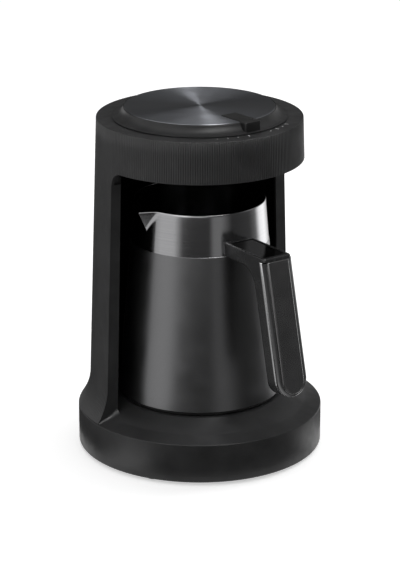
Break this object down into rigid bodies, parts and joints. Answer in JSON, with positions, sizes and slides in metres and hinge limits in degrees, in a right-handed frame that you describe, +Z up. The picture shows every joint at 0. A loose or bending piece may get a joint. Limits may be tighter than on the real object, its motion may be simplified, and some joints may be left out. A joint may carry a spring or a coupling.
{
  "type": "electric turkish coffee maker",
  "caption": "Electric turkish coffee maker: round base, fluted half column, overhanging head with a turning dial, and a lift-off jug with spout and handle.",
  "frame": {"origin": "centre of the base's flat underside; the rubber feet stand 1.8 mm below it", "axes": "+Z up, -Y to the front where the dial pointer and the jug handle point, +Y to the column and the cord inlet, jug spout near -X"},
  "size_m": [0.165, 0.193, 0.2355],
  "materials": {
    "housing_black": "matte moulded black plastic with fine flutes",
    "base_black": "satin moulded black plastic",
    "liner_black": "smooth black plastic",
    "gloss_black": "polished black plastic",
    "spun_metal": "dark anodised, turned circular grain",
    "polished_steel": "polished stainless steel",
    "dark_coating": "charcoal metallic coating",
    "chrome_trim": "chrome plated",
    "foot_rubber": "rubber",
    "screw_steel": "zinc plated steel",
    "board_green": "circuit board laminate",
    "part_grey": "moulded grey plastic",
    "contact_brass": "nickel free brass",
    "element_steel": "heat tinted steel tube",
    "spreader_aluminium": "rolled sheet",
    "lens_dark": "dark infrared window",
    "harness_grey": "silicone sleeve"
  },
  "bodies": {
    "machine": {"base_housing": "base_black", "base_cover": "base_black", "rubber_feet": "foot_rubber", "base_screws": "screw_steel", "cord_gland": "foot_rubber", "power_board": "board_green", "terminal_block": "part_grey", "connector_post": "gloss_black", "connector_contacts": "contact_brass", "outer_shell": "housing_black", "column_liner": "liner_black", "head_floor": "liner_black", "head_screws": "screw_steel", "control_board": "board_green", "rotary_switch": "part_grey", "foam_sensor": "part_grey", "sensor_lens": "lens_dark", "buzzer": "part_grey", "wire_harness": "harness_grey"},
    "dial": {"dial_body": "base_black", "dial_disc": "spun_metal", "dial_pointer": "gloss_black", "dial_shaft": "screw_steel"},
    "jug": {"jug_body": "polished_steel", "jug_coating": "dark_coating", "jug_floor": "polished_steel", "heat_spreader": "spreader_aluminium", "heating_element": "element_steel", "thermostat": "part_grey", "jug_base_ring": "gloss_black", "jug_connector": "part_grey", "jug_contacts": "contact_brass", "handle_bracket": "screw_steel", "handle_body": "gloss_black", "handle_top_inlay": "gloss_black", "handle_bezel": "chrome_trim", "handle_cover": "gloss_black", "handle_screws": "screw_steel"}
  },
  "joints": [
    {"name": "dial_turn", "type": "hinge", "parent": "machine", "child": "dial", "pos_m": [0, 0, 0.2267], "axis": [0, 0, 1], "range_deg": [-30, 30]},
    {"name": "jug_lift", "type": "slide", "parent": "machine", "child": "jug", "axis": [0, 0, 1], "range_m": [0, 0.024]}
  ]
}
